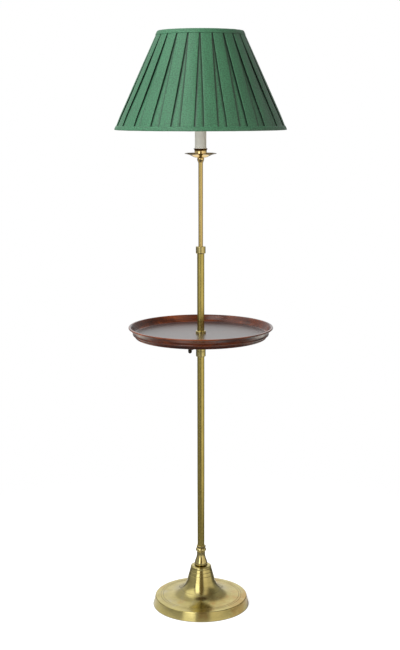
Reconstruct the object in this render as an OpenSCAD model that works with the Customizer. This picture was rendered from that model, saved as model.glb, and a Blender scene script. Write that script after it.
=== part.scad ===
// Telescopic floor lamp: a weighted brass base, a two-part column, a round tray table that
// slides on the column, and a pleated shade on a harp over a candle-style stem.
// Millimetres, +Z up. The origin is the middle of the base's underside.

/* [Base] */
// Radius of the base where it meets the floor
base_bottom_r = 132.4; // [110:0.1:150]
// Radius of the base at its upper rim
base_rim_r = 127.2; // [105:0.1:145]
// Height of the base's upper rim
base_rim_z = 25.4; // [20:0.1:32]
// Height of the top of the bell
bell_top_z = 112; // [100:0.5:120]
// Thickness of the spun brass shell
shell_t = 2; // [1:0.1:3]

/* [Column] */
// Outer diameter of the outer column tube
column_d = 19.05; // [19.05:0.05:20]
// Height of the outer tube's upper end
column_top_z = 992; // [940:1:1010]
// Outer diameter of the inner stem tube
stem_d = 12; // [11:0.1:12]
// Diameter of the locking collar
collar_d = 25.9; // [24:0.1:30]
// Height of the locking collar
collar_h = 19.5; // [18:0.1:26]

/* [Tray] */
// Radius of the tray at its lip
tray_r = 193.7; // [180:0.1:210]
// Height of the tray's underside above the floor
tray_z = 755.5; // [600:0.5:800]
// Diameter of the collar under the tray
tray_collar_d = 26; // [24:0.1:30]

/* [Stem and candle] */
// Height of the drip pan's underside
pan_z = 1233.3; // [1225:0.1:1240]
// Radius of the drip pan
pan_r = 42; // [36:0.1:48]
// Outer diameter of the candle tube
candle_d = 30; // [28:0.1:30]
// Height of the candle tube's upper end
candle_top_z = 1326; // [1320:1:1330]

/* [Shade] */
// Radius of the shade at its lower edge
shade_bottom_r = 225.5; // [200:0.5:240]
// Radius of the shade at its upper edge
shade_top_r = 111.5; // [100:0.5:130]
// Height of the shade's lower edge above the floor
shade_bottom_z = 1305; // [1295:0.5:1310]
// Height of the shade itself
shade_h = 251.5; // [248:0.5:256]
// Number of upright wires in the shade's frame
strut_count = 8; // [4:1:12]

/* [Hidden] */
$fn = 96;
brass = [0.72, 0.62, 0.38];
dark_metal = [0.12, 0.11, 0.10];
steel = [0.62, 0.63, 0.64];
nylon = [0.93, 0.92, 0.88];
mahogany = [0.30, 0.10, 0.06];
green_fabric = [0.33, 0.55, 0.41];
ivory = [0.80, 0.79, 0.74];
// Radial gap of a running fit, and of parts that only lie beside each other
run_gap = 0.05;
side_gap = 0.3;

column_r = column_d / 2;
column_wall = 1.2;
column_in_r = column_r - column_wall;
column_foot_z = 140;
stem_r = stem_d / 2;
stem_bore_r = stem_r - 1;
stem_foot_z = 755;
stem_top_z = pan_z - 9;
nipple_r = 5;
nipple_bore_r = 3.4;
felt_t = 2;
weight_r = 118;
weight_top_z = base_rim_z - shell_t - 0.2;
nut_recess_r = 14;
nut_recess_z = 8;
inlet_z = 11;
neck_z = bell_top_z - 4;
neck_foot_r = 17.5;
bell_mouth_r = 18;
neck_top_z = 169;
bead_z = 157;
set_screw_z = 166;
guide_bush_h = 52;
collar_z = column_top_z - 11.5;
collet_h = 4.4;
slider_h = 24.8;
ring_h = 3;
tray_collar_top_z = tray_z - 0.5;
tray_collar_h = 53;
tray_floor_z = tray_z + 10.5;
tray_bush_r = 11.4;
bush_collar_r = 13.65;
bush_seat_z = tray_floor_z - 0.8;
thumbscrew_z = tray_z - 31.5;
thumbscrew_r = 2.45;
candle_r = candle_d / 2;
cup_z = pan_z + 1.5;
cup_lip_z = pan_z + 23.5;
saddle_z = candle_top_z + 1.7;
saddle_t = 1.5;
saddle_half_w = 34;
harp_wire_r = 2;
harp_top_z = 1541;
harp_foot_z = saddle_z + 15;
ferrule_h = 16;
socket_z = saddle_z + saddle_t + 0.2;
socket_r = 17.2;
switch_z = socket_z + 33;
bulb_z = socket_z + 38;
shade_top_z = shade_bottom_z + shade_h;
shade_slope = (shade_bottom_r - shade_top_r) / shade_h;
trim_w = 11;
frame_inset = 7;
frame_wire_r = 1.4;
spider_z = harp_top_z + 2.2;

// ---- Shapes that repeat ----

// Points on an arc from angle a0 to a1, both included
function arc(cx, cy, r, a0, a1, n = 8) =
    [for (i = [0:n]) [cx + r * cos(a0 + (a1 - a0) * i / n), cy + r * sin(a0 + (a1 - a0) * i / n)]];

// Points on a cubic curve from a to d that leaves along a-b and arrives along c-d
function curve(a, b, c, d, n = 12) =
    [for (i = [0:n]) let (t = i / n, s = 1 - t)
        s * s * s * a + 3 * s * s * t * b + 3 * s * t * t * c + t * t * t * d];

// Outer radius of the shade at height z
function shade_r(z) = shade_bottom_r - (z - shade_bottom_z) * shade_slope;

// A straight tube that stands on z
module tube(z, h, r_out, r_in) {
    translate([0, 0, z])
        difference() {
            cylinder(h = h, r = r_out);
            translate([0, 0, -1]) cylinder(h = h + 2, r = r_in);
        }
}

// A hexagonal nut with a round hole
module hex_nut(z, h, across_flats, hole_r) {
    translate([0, 0, z])
        difference() {
            cylinder(h = h, r = across_flats / 2 / cos(30), $fn = 6);
            translate([0, 0, -1]) cylinder(h = h + 2, r = hole_r);
        }
}

// A round wire between two points
module wire(a, b, r) {
    d = b - a;
    translate(a)
        rotate([0, acos(d[2] / norm(d)), atan2(d[1], d[0])])
            cylinder(h = norm(d), r = r, $fn = 24);
}

// A cone-shaped wall that follows the shade, between two insets from its outer surface
module shade_wall(z0, z1, inset_out, inset_in) {
    rotate_extrude()
        polygon([
            [shade_r(z0) - inset_in, z0], [shade_r(z0) - inset_out, z0],
            [shade_r(z1) - inset_out, z1], [shade_r(z1) - inset_in, z1]
        ]);
}

// A round wire swept along a path in the XZ plane, as one closed surface
module swept_wire(path, r, sides = 10) {
    last = len(path) - 1;
    rings = [for (i = [0:last])
        let (
            d = path[min(i + 1, last)] - path[max(i - 1, 0)],
            u = d / norm(d)
        )
        for (k = [0:sides - 1])
            let (a = 360 * k / sides)
            [path[i][0] + r * cos(a) * u[1], r * sin(a), path[i][1] - r * cos(a) * u[0]]];
    sides_faces = [for (i = [0:last - 1]) for (k = [0:sides - 1])
        let (a = i * sides + k, b = i * sides + (k + 1) % sides)
        [a, a + sides, b + sides, b]];
    start = [[for (k = [0:sides - 1]) k]];
    end = [[for (k = [sides - 1:-1:0]) last * sides + k]];
    polyhedron(points = rings, faces = concat(start, end, sides_faces), convexity = 4);
}

// ---- Base ----

module felt_pad() {
    color("darkgreen") cylinder(h = felt_t, r = base_bottom_r - 5);
}

module base_weight() {
    color("dimgray")
        difference() {
            translate([0, 0, felt_t + 0.1])
                cylinder(h = weight_top_z - felt_t - 0.1, r = weight_r);
            translate([0, 0, 0]) cylinder(h = 40, r = nipple_r + 0.3);
            cylinder(h = nut_recess_z, r = nut_recess_r);
            translate([-4.5, 0, 0]) cube([9, weight_r + 2, inlet_z + 4.5]);
        }
}

// The outline of the base from its lower edge, over the rim and up the bell
function base_outline(top_z) = concat(
    [[base_bottom_r - 0.6, 0], [base_bottom_r, 0.8]],
    [[base_rim_r + 0.2, base_rim_z - 3]],
    arc(base_rim_r - 2.8, base_rim_z - 2.8, 2.8, 10, 84, 6),
    ring_groove(111.5, base_rim_z + 0.9), ring_groove(105.5, base_rim_z + 1.2),
    curve([101, base_rim_z + 1.5], [72, base_rim_z + 3], [46.5, 38], [37.6, 72], 20),
    bell_groove(86), bell_groove(96),
    [[28.6, top_z - 7.5]],
    arc(23.6, top_z - 5, 5, 5, 90, 6)
);

// An incised ring in the flat of the base
function ring_groove(r, z) = [[r + 0.7, z], [r, z - 0.5], [r - 0.7, z + 0.05]];

// An incised ring in the bell, which is a straight cone there
function bell_r(z) = 37.6 - (z - 72) * 0.277;
function bell_groove(z) =
    [[bell_r(z - 0.6), z - 0.6], [bell_r(z) - 0.45, z], [bell_r(z + 0.6), z + 0.6]];

// The solid inside the base's outline, moved in and down by shift
module base_solid(shift) {
    outline = [for (p = base_outline(bell_top_z)) [p[0] - shift, p[1] - shift]];
    rotate_extrude($fn = 128)
        polygon(concat([[0, -shift]], outline, [[0, bell_top_z - shift]]));
}

module base_cover() {
    color(brass)
        difference() {
            base_solid(0);
            difference() {
                base_solid(shell_t);
                translate([0, 0, neck_z - shell_t]) cylinder(h = 10, r = 40);
            }
            translate([0, 0, neck_z]) cylinder(h = 10, r = bell_mouth_r);
            cylinder(h = 200, r = nipple_r + 0.3);
            translate([0, 100, inlet_z]) rotate([-90, 0, 0]) cylinder(h = 40, r = 5.7);
        }
}

module base_nipple() {
    color(steel) tube(3.2, 131, nipple_r, nipple_bore_r);
}

module bottom_washer() {
    color(steel) tube(nut_recess_z - 1.6, 1.5, 12, nipple_r + 0.2);
}

module bottom_nut() {
    color(steel) hex_nut(3.2, 3.1, 15, nipple_r + 0.02);
}

module flex_grommet() {
    color("black")
        translate([0, 0, inlet_z])
            rotate([-90, 0, 0])
                rotate_extrude($fn = 48)
                    polygon([[3.6, 123.2], [7.4, 123.2], [7.4, 125.4], [5.4, 125.8], [5.4, 131.8],
                        [8, 132.2], [7.2, 134.6], [4.6, 135.4], [3.6, 135.4]]);
}

// ---- Neck and column ----

module neck_casting() {
    color(brass)
        difference() {
            rotate_extrude()
                polygon(concat(
                    [[0, neck_z], [14.5, neck_z]],
                    curve([14.5, neck_z + 4], [15.6, neck_z + 5.2], [17.2, neck_z + 5.4],
                        [neck_foot_r, neck_z + 8], 6),
                    curve([neck_foot_r, neck_z + 11], [17, neck_z + 17], [12.2, neck_z + 23.5],
                        [11.3, neck_z + 35], 14),
                    [[11.3, bead_z - 6.6], [11.1, bead_z - 5.9]],
                    arc(8.2, bead_z, 6, -66, 66, 12),
                    [[11.2, bead_z + 5.9], [11.9, bead_z + 6.8], [11.9, neck_top_z - 0.8],
                        [11.2, neck_top_z], [0, neck_top_z]]
                ));
            translate([0, 0, column_foot_z]) cylinder(h = 60, r = column_r + 0.03);
            translate([0, 0, neck_z - 1]) cylinder(h = 60, r = nipple_r + 0.02);
            translate([8, 0, set_screw_z]) rotate([0, 90, 0]) cylinder(h = 10, r = 1.53);
        }
}

module neck_set_screw() {
    color(dark_metal)
        difference() {
            translate([column_r + 0.05, 0, set_screw_z])
                rotate([0, 90, 0])
                    union() {
                        cylinder(h = 2.5, r = 1.5);
                        translate([0, 0, 2.45]) cylinder(h = 1.1, r = 1.9);
                    }
            translate([12.6, -3, set_screw_z - 0.3]) cube([2, 6, 0.6]);
        }
}

module column_tube() {
    color(brass)
        tube(column_foot_z, column_top_z - column_foot_z, column_r, column_in_r);
}

module guide_bush() {
    color(nylon)
        tube(column_top_z - guide_bush_h, guide_bush_h, column_in_r - 0.03, stem_r + run_gap);
}

module clamp_collet() {
    color(nylon) tube(column_top_z + 0.1, collet_h, column_r - 0.5, stem_r + run_gap);
}

module locking_collar() {
    color(brass)
        difference() {
            rotate_extrude()
                polygon(concat(
                    [[0, collar_z], [collar_d / 2 - 1.6, collar_z], [collar_d / 2, collar_z + 2]],
                    [[collar_d / 2, collar_z + collar_h - 1.6]],
                    arc(collar_d / 2 - 1.6, collar_z + collar_h - 1.6, 1.6, 10, 90, 6),
                    [[0, collar_z + collar_h]]
                ));
            translate([0, 0, collar_z - 1])
                cylinder(h = column_top_z + collet_h + 1.2 - collar_z, r = column_r + run_gap);
            translate([0, 0, collar_z - 1]) cylinder(h = 40, r = stem_r + side_gap);
        }
}

// ---- Stem: all that slides and turns in the column ----

module stem_guide() {
    color(nylon)
        tube(stem_foot_z + ring_h + 0.2, slider_h, column_in_r - run_gap, stem_r + run_gap);
}

module stem_stop_rings() {
    color(brass) {
        tube(stem_foot_z, ring_h, stem_r + 1.7, stem_r + 0.02);
        tube(stem_foot_z + ring_h + slider_h + 0.4, ring_h, stem_r + 1.7, stem_r + 0.02);
    }
}

module stem_tube() {
    color(brass) tube(stem_foot_z, stem_top_z - stem_foot_z, stem_r, stem_bore_r);
}

module stem_nipple() {
    color(steel) tube(stem_top_z - 20, socket_z + 5 - stem_top_z + 20, nipple_r - 0.1, 3.3);
}

module stem_baluster() {
    color(brass)
        difference() {
            rotate_extrude()
                polygon(concat(
                    [[0, pan_z - 12.5], [6.8, pan_z - 12.5], [7.3, pan_z - 11.8]],
                    curve([7.4, pan_z - 10.6], [8.2, pan_z - 8.4], [9.2, pan_z - 6.4],
                        [9.25, pan_z - 3.6], 8),
                    curve([9.25, pan_z - 3.6], [9.3, pan_z - 2], [9, pan_z - 0.9],
                        [8.2, pan_z - 0.1], 5),
                    [[0, pan_z - 0.1]]
                ));
            translate([0, 0, pan_z - 20]) cylinder(h = stem_top_z - pan_z + 20, r = stem_r + 0.02);
            translate([0, 0, pan_z - 20]) cylinder(h = 30, r = nipple_r);
        }
}

module drip_pan() {
    color(brass)
        difference() {
            rotate_extrude()
                polygon(concat(
                    [[0, pan_z], [12, pan_z]],
                    curve([13, pan_z + 0.1], [20, pan_z + 1], [24, pan_z + 5.6],
                        [34, pan_z + 8.2], 12),
                    [[pan_r - 0.8, pan_z + 9.8]],
                    arc(pan_r - 0.9, pan_z + 10.7, 0.9, -70, 110, 8),
                    curve([34, pan_z + 9.5], [24, pan_z + 7], [20, pan_z + 2.4],
                        [13, pan_z + 1.4], 12),
                    [[0, pan_z + 1.4]]
                ));
            translate([0, 0, pan_z - 1]) cylinder(h = 10, r = nipple_r);
        }
}

module candle_cup() {
    color(brass)
        difference() {
            rotate_extrude()
                polygon(concat(
                    [[0, cup_z], [11.5, cup_z], [12, cup_z + 0.6]],
                    curve([13, cup_z + 2.4], [17, cup_z + 4], [17.2, cup_z + 8],
                        [16.2, cup_z + 13], 8),
                    curve([16.1, cup_z + 14], [16, cup_z + 18], [17, cup_z + 20],
                        [18.7, cup_lip_z - 0.9], 8),
                    [[18.7, cup_lip_z - 0.3], [18.3, cup_lip_z], [0, cup_lip_z]]
                ));
            translate([0, 0, cup_z + 6]) cylinder(h = 30, r = candle_r + 0.1);
            translate([0, 0, cup_z + 1.6]) cylinder(h = 10, r = 10.5);
            translate([0, 0, cup_z - 1]) cylinder(h = 10, r = nipple_r);
        }
}

module cup_nut() {
    color(steel) hex_nut(cup_z + 1.7, 3.5, 15, nipple_r - 0.08);
}

module candle_tube() {
    color(ivory) tube(cup_z + 6.1, candle_top_z - cup_z - 6.1, candle_r, candle_r - 1.1);
}

module candle_cap() {
    color(brass) {
        difference() {
            union() {
                translate([0, 0, candle_top_z + 0.1]) cylinder(h = 1.5, r = candle_r + 0.4);
                translate([0, 0, candle_top_z - 3]) cylinder(h = 3.2, r = candle_r - 1.2);
            }
            translate([0, 0, candle_top_z - 10]) cylinder(h = 20, r = nipple_r);
        }
    }
}

// ---- Lampholder and bulb ----

module socket_cap() {
    color(brass)
        rotate_extrude()
            polygon(concat(
                [[nipple_r, socket_z], [8, socket_z]],
                curve([8.4, socket_z + 3], [11, socket_z + 6], [16.4, socket_z + 8],
                    [16.4, socket_z + 16], 8),
                [[16.4, socket_z + 21], [15.6, socket_z + 21]],
                curve([15.6, socket_z + 16], [15.4, socket_z + 9], [11, socket_z + 7],
                    [7.6, socket_z + 5.4], 8),
                [[nipple_r, socket_z + 5.4]]
            ));
}

module socket_shell() {
    color(brass)
        difference() {
            rotate_extrude()
                polygon(concat(
                    [[socket_r - 0.6, socket_z + 16.5], [socket_r, socket_z + 16.5]],
                    [[socket_r, socket_z + 61]],
                    arc(socket_r, socket_z + 62, 0.7, -90, 90, 6),
                    [[socket_r - 0.6, socket_z + 62.7]]
                ));
            translate([0, 0, switch_z]) rotate([90, 0, 0]) cylinder(h = 30, r = 2.2);
        }
}

module socket_body() {
    color(dark_metal)
        difference() {
            tube(socket_z + 22, 15.5, socket_r - 1, 2);
            translate([0, 0, switch_z]) rotate([90, 0, 0]) cylinder(h = 30, r = 1.65);
        }
}

module screw_shell() {
    color(brass) tube(socket_z + 37.7, 24, 14.3, 13.5);
}

module socket_knob() {
    color(dark_metal)
        translate([0, 0, switch_z])
            rotate([90, 0, 0])
                union() {
                    translate([0, 0, 3]) cylinder(h = 16, r = 1.6);
                    translate([0, 0, 19]) cylinder(h = 12, r1 = 4.6, r2 = 3.6, $fn = 48);
                    translate([0, 0, 31]) cylinder(h = 1.2, r1 = 3.6, r2 = 2.6, $fn = 48);
                    for (a = [0:30:330])
                        rotate([0, 0, a]) translate([3.9, -0.5, 19.6]) cube([1, 1, 9]);
                }
}

module bulb_cap() {
    color(steel)
        rotate_extrude($fn = 64)
            polygon(concat(
                [[0, bulb_z], [4.6, bulb_z], [5.2, bulb_z + 1.2], [10.4, bulb_z + 4]],
                [for (i = [0:4]) each [[12.1, bulb_z + 5 + i * 3.6], [13.1, bulb_z + 6.4 + i * 3.6],
                    [13.1, bulb_z + 7.2 + i * 3.6]]],
                [[12.6, bulb_z + 23], [13.1, bulb_z + 25.6], [0, bulb_z + 25.6]]
            ));
}

module bulb_glass() {
    color([0.97, 0.96, 0.92], 0.9)
        rotate_extrude()
            polygon(concat(
                curve([12.9, bulb_z + 25.7], [14.5, bulb_z + 36], [22, bulb_z + 44],
                    [26.6, bulb_z + 60], 12),
                arc(0, bulb_z + 80, 30, -40, 90, 20),
                arc(0, bulb_z + 80, 29, 90, -40, 20),
                curve([25.6, bulb_z + 60], [21, bulb_z + 44.6], [13.5, bulb_z + 36.4],
                    [11.9, bulb_z + 25.7], 12)
            ));
}

// ---- Harp ----

// The middle line of the harp's right half, from its foot to the top
function harp_path() = concat(
    [[saddle_half_w, harp_foot_z], [saddle_half_w, harp_foot_z + 12]],
    curve([saddle_half_w, harp_foot_z + 24], [saddle_half_w, harp_foot_z + 50],
        [62, harp_foot_z + 60], [62, harp_foot_z + 100], 14),
    curve([62, harp_foot_z + 106], [62, harp_foot_z + 160], [40, harp_top_z - 3],
        [4, harp_top_z - 3], 16)
);

module harp() {
    color(brass) {
        swept_wire(harp_path(), harp_wire_r);
        mirror([1, 0, 0]) swept_wire(harp_path(), harp_wire_r);
        translate([0, 0, harp_top_z - 5.2]) cylinder(h = 5.2, r = 7);
        translate([0, 0, harp_top_z]) cylinder(h = 11, r = 3.1, $fn = 48);
    }
}

module harp_saddle() {
    color(brass)
        difference() {
            union() {
                translate([0, 0, saddle_z]) cylinder(h = saddle_t, r = 11);
                translate([-saddle_half_w - 3, -4.5, saddle_z])
                    cube([2 * saddle_half_w + 6, 9, saddle_t]);
                for (side = [-1, 1])
                    translate([side * saddle_half_w, 0, saddle_z])
                        cylinder(h = harp_foot_z - saddle_z - 0.1, r = harp_wire_r);
            }
            translate([0, 0, saddle_z - 1]) cylinder(h = 10, r = nipple_r);
        }
}

module harp_ferrule(side) {
    color(brass)
        translate([side * saddle_half_w, 0, saddle_z + saddle_t + 0.2])
            difference() {
                union() {
                    cylinder(h = ferrule_h, r = 3.6);
                    cylinder(h = 1.6, r = 4.4);
                }
                translate([0, 0, -1]) cylinder(h = ferrule_h + 2, r = harp_wire_r + 0.35);
            }
}

module harp_ferrule_left() {
    harp_ferrule(-1);
}

module harp_ferrule_right() {
    harp_ferrule(1);
}

module finial() {
    color(brass)
        difference() {
            rotate_extrude($fn = 64)
                polygon(concat(
                    [[0, spider_z + 1.9], [6, spider_z + 1.9], [6, spider_z + 2.9],
                        [4.4, spider_z + 3.6]],
                    arc(0, spider_z + 8, 5.2, -36, 90, 12)
                ));
            translate([0, 0, spider_z]) cylinder(h = 9.4, r = 3.16);
        }
}

// ---- Shade ----

// Radius of the frame's upper or lower ring, at height z
function frame_ring_r(z) = shade_r(z) - frame_inset;

// The upper and lower rings and the upright wires, which lie between the cover and the lining
module shade_wires() {
    top_z = shade_top_z - 4;
    bottom_z = shade_bottom_z + 4;
    color(steel)
        union() {
            for (z = [bottom_z, top_z])
                translate([0, 0, z])
                    rotate_extrude()
                        translate([frame_ring_r(z), 0]) circle(r = frame_wire_r + 0.3, $fn = 24);
            for (i = [0:strut_count - 1])
                rotate([0, 0, 360 * (i + 0.5) / strut_count])
                    wire([frame_ring_r(bottom_z), 0, bottom_z], [frame_ring_r(top_z), 0, top_z],
                        frame_wire_r);
        }
}

// The hub that sits on the harp, with its three arms to the upper ring
module shade_spider() {
    arm_z = shade_top_z - 4;
    color(steel)
        union() {
            for (a = [30, 150, 270])
                rotate([0, 0, a])
                    wire([9, 0, spider_z], [frame_ring_r(arm_z) - 1, 0, arm_z], frame_wire_r);
            tube(spider_z - 1.7, 3.4, 11, 3.5);
        }
}

module shade_cover() {
    color(green_fabric) shade_wall(shade_bottom_z + 1.4, shade_top_z - 1.4, 1.8, 4.6);
}

module shade_lining() {
    color("ivory") shade_wall(shade_bottom_z + 1.4, shade_top_z - 1.4, 9.3, 10);
}

// A strip of fabric folded over one edge of the shade; dir is +1 at the lower edge, -1 at the upper
module shade_trim(z, dir) {
    z_in = z + dir * 1.1;
    z_end = z + dir * trim_w;
    rotate_extrude()
        polygon([
            [shade_r(z) - 11, z], [shade_r(z), z], [shade_r(z_end), z_end],
            [shade_r(z_end) - 1.5, z_end], [shade_r(z_in) - 1.5, z_in],
            [shade_r(z_in) - 10.1, z_in], [shade_r(z_end) - 10.1, z_end],
            [shade_r(z_end) - 11, z_end]
        ]);
}

module shade_trim_top() {
    color(green_fabric) shade_trim(shade_top_z, -1);
}

module shade_trim_bottom() {
    color(green_fabric) shade_trim(shade_bottom_z, 1);
}

// ---- Tray ----

module tray() {
    z = tray_z;
    color(mahogany)
        difference() {
            rotate_extrude($fn = 128)
                polygon(concat(
                    [[0, z], [tray_r - 21, z]],
                    curve([tray_r - 19.4, z + 0.2], [tray_r - 17.6, z + 1], [tray_r - 17.2, z + 3],
                        [tray_r - 16.6, z + 6.8], 6),
                    [[tray_r - 14.6, z + 7.2]],
                    arc(tray_r - 14.4, z + 10.6, 3.4, -85, 55, 8),
                    curve([tray_r - 11.4, z + 13.6], [tray_r - 10.5, z + 17], [tray_r - 6, z + 21.6],
                        [tray_r - 1.8, z + 24.4], 8),
                    arc(tray_r - 2.1, z + 27, 2.1, -40, 90, 8),
                    arc(tray_r - 4.2, z + 26.7, 2.4, 90, 130, 4),
                    curve([tray_r - 6.4, z + 27.9], [tray_r - 10.2, z + 22.5], [tray_r - 13.2, z + 11],
                        [tray_r - 20, tray_floor_z], 14),
                    [[0, tray_floor_z]]
                ));
            translate([0, 0, z - 1]) cylinder(h = 40, r = tray_bush_r + 0.05);
            translate([0, 0, z - 1]) cylinder(h = 5, r = 20);
            translate([0, 0, bush_seat_z]) cylinder(h = 5, r = bush_collar_r + 0.35);
        }
}

module tray_bush() {
    color(brass)
        difference() {
            union() {
                translate([0, 0, tray_z + 0.8]) cylinder(h = 14, r = tray_bush_r);
                rotate_extrude()
                    polygon([
                        [0, bush_seat_z + 0.05], [bush_collar_r, bush_seat_z + 0.05],
                        [bush_collar_r, tray_floor_z + 5.6], [bush_collar_r - 0.75, tray_floor_z + 6.4],
                        [0, tray_floor_z + 6.4]
                    ]);
            }
            translate([0, 0, tray_z - 5]) cylinder(h = 40, r = column_r + run_gap + 0.02);
        }
}

module tray_nut() {
    color(brass) tube(tray_z + 0.8, 3.1, 17, tray_bush_r + 0.02);
}

module tray_washer() {
    color(nylon) tube(tray_collar_top_z + 0.1, 1, 16, column_r + run_gap + 0.02);
}

module tray_collar() {
    r = tray_collar_d / 2;
    z = tray_collar_top_z - tray_collar_h;
    color(brass)
        difference() {
            rotate_extrude()
                polygon([
                    [0, z], [r - 1.5, z], [r, z + 1.8], [r, z + 14.4], [r - 0.5, z + 15],
                    [r, z + 15.6], [r, tray_collar_top_z - 0.6], [r - 0.6, tray_collar_top_z],
                    [0, tray_collar_top_z]
                ]);
            translate([0, 0, z - 1]) cylinder(h = 80, r = column_r + run_gap + 0.02);
            translate([-30, 0, thumbscrew_z])
                rotate([0, 90, 0]) cylinder(h = 25, r = thumbscrew_r + 0.05);
        }
}

module tray_thumbscrew() {
    tip_x = column_r + 0.2;
    color(dark_metal)
        translate([0, 0, thumbscrew_z])
            union() {
                translate([-27, 0, 0]) rotate([0, 90, 0]) cylinder(h = 27 - tip_x, r = thumbscrew_r);
                translate([-26, 0, 0]) rotate([0, 90, 0]) cylinder(h = 6, r = 4.2, $fn = 48);
                translate([-29, 1.7, 0])
                    rotate([90, 0, 0])
                        linear_extrude(height = 3.4)
                            union() {
                                square([10, 17], center = true);
                                for (end = [-1, 1]) translate([0, end * 8.5]) circle(r = 5, $fn = 48);
                            }
            }
}

felt_pad();
base_weight();
base_cover();
base_nipple();
bottom_washer();
bottom_nut();
flex_grommet();
neck_casting();
neck_set_screw();
column_tube();
guide_bush();
clamp_collet();
locking_collar();
stem_guide();
stem_stop_rings();
stem_tube();
stem_nipple();
stem_baluster();
drip_pan();
candle_cup();
cup_nut();
candle_tube();
candle_cap();
harp_saddle();
harp();
harp_ferrule_left();
harp_ferrule_right();
finial();
socket_cap();
socket_shell();
socket_body();
screw_shell();
socket_knob();
bulb_cap();
bulb_glass();
shade_wires();
shade_spider();
shade_cover();
shade_lining();
shade_trim_top();
shade_trim_bottom();
tray();
tray_bush();
tray_nut();
tray_washer();
tray_collar();
tray_thumbscrew();
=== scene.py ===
"""Floor lamp with a tray table: its looks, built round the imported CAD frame.

Lengths are in metres, +Z is up and the front is -Y.
"""
import math
from collections import namedtuple

import bmesh
import bpy
import numpy as np
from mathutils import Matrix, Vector


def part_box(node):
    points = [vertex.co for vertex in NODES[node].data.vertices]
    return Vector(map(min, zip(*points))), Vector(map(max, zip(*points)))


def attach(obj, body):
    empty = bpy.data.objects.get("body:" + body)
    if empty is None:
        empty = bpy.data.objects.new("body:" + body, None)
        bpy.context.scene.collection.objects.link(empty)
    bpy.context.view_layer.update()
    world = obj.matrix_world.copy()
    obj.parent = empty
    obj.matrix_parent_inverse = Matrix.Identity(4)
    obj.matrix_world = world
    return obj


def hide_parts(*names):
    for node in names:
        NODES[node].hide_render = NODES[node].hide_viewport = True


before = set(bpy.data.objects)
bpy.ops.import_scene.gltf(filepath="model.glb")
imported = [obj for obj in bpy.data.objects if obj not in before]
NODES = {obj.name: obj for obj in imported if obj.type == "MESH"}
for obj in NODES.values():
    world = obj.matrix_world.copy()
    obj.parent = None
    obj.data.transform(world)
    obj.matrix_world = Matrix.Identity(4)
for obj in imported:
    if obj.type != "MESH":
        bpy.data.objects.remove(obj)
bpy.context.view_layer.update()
MM = 0.001
TAU = 2 * math.pi
MICRON = 1e-6


# ---- Small mathematics ----

def smooth(a, b, x):
    """0 below a, 1 above b, and a smooth rise between."""
    t = np.clip((np.asarray(x, float) - a) / (b - a), 0, 1)
    return t * t * (3 - 2 * t)


def waves(x, seed, lowest, count=5, falloff=0.75):
    """A repeatable smooth variation from about -1 to 1 along an angle x, closed after a full turn."""
    rng = np.random.default_rng(seed)
    total, norm = np.zeros_like(np.asarray(x, float)), 0.0
    for i in range(count):
        size = falloff ** i
        total = total + size * np.sin((lowest + i * 2 + int(rng.integers(0, 2))) * x + rng.uniform(0, TAU))
        norm += size
    return total / norm * 1.4


# ---- Outlines cut from the CAD nodes ----

CUT_TURN = 2.3e-5                 # radians past the azimuth, so that no vertex lies in the cutting plane
JOIN_WITHIN = 4 * MICRON          # two cuts' ends that are this close are one point
CLOSED_WITHIN = 6 * MICRON        # and so are the two ends of a loop
SAME_POINT = 8 * MICRON
STRAIGHT_WITHIN = 1.5 * MICRON    # a point this close to the line past it is left out


def node_outlines(name, azimuth):
    """The outlines, as (radius, z) loops, of a turned CAD node in the half plane at that azimuth."""
    mesh = NODES[name].data
    mesh.calc_loop_triangles()
    co = np.array([v.co for v in mesh.vertices], float)
    tri = np.array([t.vertices for t in mesh.loop_triangles], int)
    a = math.radians(azimuth) + CUT_TURN
    along = co[:, 0] * math.cos(a) + co[:, 1] * math.sin(a)
    off = -co[:, 0] * math.sin(a) + co[:, 1] * math.cos(a)
    above = off > 0
    crossing = tri[(above[tri].any(1)) & (~above[tri].all(1))]
    pieces = []
    for t in crossing:
        ends = []
        for i, j in ((t[0], t[1]), (t[1], t[2]), (t[2], t[0])):
            if above[i] != above[j]:
                i, j = (i, j) if tuple(co[i]) < tuple(co[j]) else (j, i)
                f = off[i] / (off[i] - off[j])
                ends.append((along[i] + f * (along[j] - along[i]), co[i][2] + f * (co[j][2] - co[i][2])))
        p, q = ends
        if max(p[0], q[0]) <= 1e-7 or math.dist(p, q) < 1e-7:
            continue
        if p[0] < 0 or q[0] < 0:
            f = p[0] / (p[0] - q[0])
            axis_point = (0.0, p[1] + f * (q[1] - p[1]))
            p, q = (axis_point, q) if p[0] < 0 else (p, axis_point)
        pieces.append((p, q))
    ends = np.array([e for s in pieces for e in s])
    used = np.zeros(len(pieces), bool)

    def follow(point, chain):
        """Add the cuts that join on from a point, one after the other."""
        while True:
            far = np.hypot(ends[:, 0] - point[0], ends[:, 1] - point[1])
            far[np.repeat(used, 2)] = 1
            k = int(far.argmin())
            if far[k] > JOIN_WITHIN:
                return chain
            used[k // 2] = True
            point = tuple(ends[k ^ 1])
            chain.append(point)

    loops = []
    starts = sorted(range(len(pieces)), key=lambda i: min(pieces[i][0][0], pieces[i][1][0]))
    for i in starts:
        if used[i]:
            continue
        used[i] = True
        p, q = pieces[i]
        chain = follow(q, [p, q])
        back = follow(p, [p])
        chain = back[:0:-1] + chain
        closed = math.dist(chain[0], chain[-1]) < CLOSED_WITHIN
        if closed:
            chain = chain[:-1]
        c = np.array(chain)
        nxt = np.roll(c, -1, 0)
        if (c[:, 0] * nxt[:, 1] - nxt[:, 0] * c[:, 1]).sum() < 0:
            c = c[::-1]
        if len(c) > 2:
            loops.append((tidy_outline(c, closed), closed))
    return loops


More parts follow.
